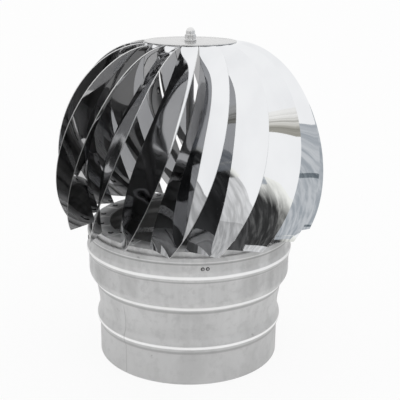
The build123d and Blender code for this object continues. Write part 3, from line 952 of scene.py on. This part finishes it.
def nut_rings():
    """Radii of the acorn nut by height: hexagon corners and flats, neck and dome."""
    flat = 5.0
    corner = flat / math.cos(math.radians(30))
    chamfer = 0.75
    neck = NUT_NECK_RADIUS
    rings = [(NUT_SEAT, flat - 0.1, flat - 0.1), (NUT_SEAT + chamfer * 0.6, flat, corner)]
    rings += [(NUT_SEAT + 2.5, flat, corner), (NUT_SEAT + 5.0 - chamfer * 0.6, flat, corner)]
    rings += [(NUT_SEAT + 5.0, flat - 0.1, flat - 0.1), (NUT_SEAT + 5.0, neck, neck)]
    rings += [(NUT_SEAT + 7.2, neck, neck)]
    for step in range(1, 11):
        angle = math.radians(9 * step)
        radius = neck * math.cos(angle)
        rings.append((NUT_SEAT + 7.25 + neck * math.sin(angle), radius, radius))
    return rings


def acorn_nut():
    """Hexagon nut with a domed cap and an open bore below."""
    segments = 72
    points = []
    faces = []
    rings = nut_rings()
    bore = [(NUT_SEAT, 3.2, 3.2), (354.1, 3.2, 3.2), (354.1, 0.0, 0.0)]
    levels = list(reversed(bore)) + rings
    for height, flat, corner in levels:
        for turn in range(segments):
            azimuth = 360 * turn / segments
            off_flat = abs((azimuth + 30) % 60 - 30)
            hexagon = 5.0 / math.cos(math.radians(off_flat))
            radius = min(hexagon, corner) if corner > flat else flat
            points.append(polar(max(radius, 0.0), azimuth, height))
    for level in range(len(levels) - 1):
        for turn in range(segments):
            after = (turn + 1) % segments
            here = level * segments
            there = here + segments
            faces.append((here + turn, here + after, there + after, there + turn))
    mesh = mesh_of("nut", points, faces, NUT)
    nut = finished("nut", mesh, 28.0)
    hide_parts("acorn_nut")
    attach(nut, "rotor")


def ring_sheet():
    """Satin ring and feet, with smudges from handling, and painted shade that darkens it towards
    the flue, under the cage.
    """
    material, tree = new_finish("ring_sheet")
    x, y, _ = millimetres_on_piece(tree)
    unmarked = tree.between(tree.math("SQRT", x * x + y * y), 90.0, 102.0)
    smudges = noise(tree, place_on_piece(tree, (1, 1, 1)), 48.0, 4.0, 0.6)
    grain = noise(tree, place_on_piece(tree, (1, 1, 0.2)), 700.0, 2.0)
    colour = tree.mix_colour(tree.between(smudges, 0.42, 0.62), grey(0.94), grey(0.70))
    # Painted shade: darker towards the inner edge, under the cage
    colour = tree.mix_colour(unmarked, grey(0.30), colour)
    metal(tree, colour, 0.30 + 0.12 * grain, bump(tree, grain, 0.15, 0.0002), Metallic=0.2)
    return material


def disc_sheet():
    """Polished disc with a soft brushed bloom."""
    material, tree = new_finish("disc_sheet")
    clouds = noise(tree, place_on_piece(tree, (1, 1, 1)), 30.0, 3.0)
    lines = noise(tree, place_on_piece(tree, (0.15, 1, 1)), 500.0, 2.0)
    colour = tree.mix_colour(clouds, grey(0.50), grey(0.60))
    roughness = 0.16 + 0.08 * clouds + 0.05 * lines
    metal(tree, colour, roughness, bump(tree, clouds, 0.4, 0.0012))
    return material


POLISHED_DISC = disc_sheet()
RING_SHEET = ring_sheet()

stub_tube()
spider()
bearings()
rotor()
acorn_nut()
blade_cage()
for clip in ("lower_housing_clip", "upper_housing_clip", "spindle_clip"):
    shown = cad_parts[clip]
    shown.data.materials.clear()
    shown.data.materials.append(SPRING)


# Studio

def floor():
    """Large pale floor with a soft shadow, whiter to the camera than to the metal."""
    material, tree = new_finish("pale_floor")
    path = tree.node("ShaderNodeLightPath")
    seen = Wire(tree, path.outputs["Is Camera Ray"]) + Wire(tree, path.outputs["Is Glossy Ray"])
    seen = tree.math("MINIMUM", seen + Wire(tree, path.outputs["Is Transmission Ray"]), 1.0)
    matt = tree.wire("ShaderNodeBsdfDiffuse", None, {"Color": grey(0.86)})
    bright = tree.wire("ShaderNodeEmission", None, {"Color": grey(1.0), "Strength": 1.0})
    in_metal = 0.3
    more_to_camera = 0.58
    shown = in_metal * seen + more_to_camera * Wire(tree, path.outputs["Is Camera Ray"])
    mixed = tree.wire("ShaderNodeMixShader", None, {0: shown, 1: matt, 2: bright})
    tree.node("ShaderNodeOutputMaterial", None, {"Surface": mixed})
    mesh = bpy.data.meshes.new("floor")
    reach = 30.0
    corners = [(-reach, -reach, 0), (reach, -reach, 0), (reach, reach, 0), (-reach, reach, 0)]
    mesh.from_pydata(corners, [], [(0, 1, 2, 3)])
    mesh.materials.append(material)
    ground = bpy.data.objects.new("floor", mesh)
    bpy.context.scene.collection.objects.link(ground)


def board(name, points, faces, dark, pale, top=None, shares=None):
    """Glowing board, lighting nothing, that stands outside the picture: its colour is a painted
    reflection where the polished pieces mirror it.

    A top colour fades in where the points' shares go from 0 to 1.
    """
    material, tree = new_finish(name)
    place = place_on_piece(tree, (1, 1, 6))
    clouds = tree.between(noise(tree, place, 1.6, 5.0, 0.6), 0.36, 0.64)
    tone = tree.mix_colour(clouds, dark, pale)
    if top:
        rise = tree.wire("ShaderNodeAttribute", {"attribute_name": "rise"}, None, 2)
        tone = tree.mix_colour(tree.between(rise + 0.3 * (clouds - 0.5), 0.0, 1.0), tone, top)
    surface = tree.wire("ShaderNodeEmission", None, {"Color": tone, "Strength": 1.0})
    tree.node("ShaderNodeOutputMaterial", None, {"Surface": surface})
    mesh = bpy.data.meshes.new(name)
    mesh.from_pydata(points, [], faces)
    mesh.materials.append(material)
    if shares:
        rise = mesh.attributes.new("rise", "FLOAT", "POINT")
        rise.data.foreach_set("value", shares)
    card = bpy.data.objects.new(name, mesh)
    card.visible_camera = False
    card.visible_diffuse = False
    card.visible_shadow = False
    bpy.context.scene.collection.objects.link(card)


def lying_board(name, side, dark, pale):
    """Board on the floor beside the picture's view and in front of it, on one side."""
    far = VIEW_SLOPE * (BOARD_REACH - CAMERA_Y)
    near = VIEW_SLOPE * (BOARD_FRONT - CAMERA_Y)
    corners = [(0, BOARD_FRONT), (near, BOARD_FRONT), (far, BOARD_REACH)]
    corners += [(BOARD_REACH, BOARD_REACH), (BOARD_REACH, -BOARD_REACH), (0, -BOARD_REACH)]
    points = [(side * x, y, 0.001) for x, y in corners]
    board(name, points, [tuple(range(len(points)))], dark, pale)


def ring_board(name, azimuths, first, last, dark, pale):
    """Board curved round the cowl, between two pairs of reach and height at its ends."""
    steps = max(1, round(abs(azimuths[1] - azimuths[0]) / 4))
    points = []
    for step in range(steps + 1):
        share = step / steps
        azimuth = azimuths[0] + (azimuths[1] - azimuths[0]) * share
        for start, end in zip(first, last):
            reach, height = [one + (other - one) * share for one, other in zip(start, end)]
            x, y, _ = polar(reach, azimuth, 0)
            points.append((x, y, height))
    faces = [(2 * step, 2 * step + 2, 2 * step + 3, 2 * step + 1) for step in range(steps)]
    board(name, points, faces, dark, pale)


def height_at(reach, rise):
    """Height at a reach, for a rise in degrees seen from the middle of the cage."""
    return CAGE_MIDDLE + reach * math.tan(math.radians(rise))


def upright(name, azimuths, reach, rises, dark, pale):
    """Board that stands on the floor, with the rise of its top at each end."""
    ends = [((reach, 0.0), (reach, height_at(reach, rise))) for rise in rises]
    ring_board(name, azimuths, ends[0], ends[1], dark, pale)


def fading_board(name, bottom, ends, dark, pale, top):
    """Upright board that fades to a top colour.

    Each end is an azimuth and the two rises between which its colour fades.
    """
    reach = UPRIGHT_REACH
    points = []
    shares = []
    faces = []
    for azimuth, fade_from, fade_to in ends:
        x, y, _ = polar(reach, azimuth, 0)
        rises = (fade_from, (fade_from + fade_to) / 2, fade_to)
        heights = [height_at(reach, rise) for rise in rises]
        points += [(x, y, height) for height in [bottom] + heights]
        shares += [0.0, 0.0, 0.5, 1.0]
    for end in range(len(ends) - 1):
        for level in range(3):
            first = 4 * end + level
            faces.append((first, first + 4, first + 5, first + 1))
    board(name, points, faces, dark, pale, top, shares)


def boards():
    """Dark, grey and pale boards round the cowl, for the polished pieces to mirror."""
    reach = UPRIGHT_REACH
    lying_board("lying_board_left", -1, grey(0.04), grey(0.12))
    lying_board("lying_board_right", 1, grey(0.04), grey(0.12))
    ends = ((0.75, 0.002), (BOARD_REACH, 0.002))
    ring_board("lying_board_side", (-135, -40), ends, ends, grey(0.30), grey(0.50))
    ends = ((-29, 14, 18), (-22, 14, 19), (-14, 13, 21), (-7, 12, 22), (-3, 9, 21), (0, 6, 20),
            (3, 2, 18), (6, -2, 17), (9, -6, 16), (12, -12, 12))
    fading_board("dark_board_front", 0.0, ends, grey(0.03), grey(0.07), (0.98, 0.98, 0.93, 1))
    upright("pale_board_left", (-48, -29), reach, (16, 17), grey(0.50), grey(0.78))
    upright("grey_board_left", (-140, -48), reach, (13, 13), grey(0.36), grey(0.58))
    cool_dark, cool_pale = (0.38, 0.41, 0.44, 1), (0.60, 0.62, 0.64, 1)
    upright("grey_board_right", (8, 62), reach, (11, 29), cool_dark, cool_pale)
    upright("grey_board_back", (62, 140), reach, (29, 13), cool_dark, cool_pale)
    post_dark, post_pale = (0.12, 0.14, 0.16, 1), (0.22, 0.25, 0.27, 1)
    upright("dark_post_right", (48, 50), 2.75, (27, 27), post_dark, post_pale)
    hung_dark, hung_pale = (0.30, 0.29, 0.255, 1), (0.62, 0.60, 0.54, 1)
    ends = ((10, 34.5, 44), (40, 34.5, 44))
    bottom = height_at(reach, 33)
    fading_board("hung_board", bottom, ends, hung_dark, hung_pale, (0.98, 0.97, 0.94, 1))


def surroundings():
    """Even studio light."""
    world = bpy.data.worlds.new("studio")
    world.use_nodes = True
    world.node_tree.nodes.clear()
    bpy.context.scene.world = world
    tree = Tree(world.node_tree)
    light = tree.wire("ShaderNodeBackground", None, {"Color": grey(1.0), "Strength": 1.0})
    tree.node("ShaderNodeOutputWorld", None, {"Surface": light})


def camera():
    """Camera at the photograph's height, tilt and distance."""
    lens = bpy.data.cameras.new("camera")
    lens.sensor_width = 36.0
    lens.lens = FOCAL_LENGTH
    lens.shift_x = (PICTURE_WIDTH / 2 - PICTURE_MIDDLE) / PICTURE_WIDTH
    lens.clip_start = 0.01
    seat = bpy.data.objects.new("camera", lens)
    seat.location = (0.0, CAMERA_Y, CAMERA_HEIGHT)
    tilt = Matrix.Rotation(math.radians(90 - CAMERA_TILT), 4, "X")
    roll = Matrix.Rotation(math.radians(CAMERA_ROLL), 4, "Z")
    seat.matrix_world = Matrix.Translation(seat.location) @ tilt @ roll
    bpy.context.scene.collection.objects.link(seat)
    bpy.context.scene.camera = seat


floor()
boards()
surroundings()
camera()
bpy.context.scene.view_settings.view_transform = "Standard"
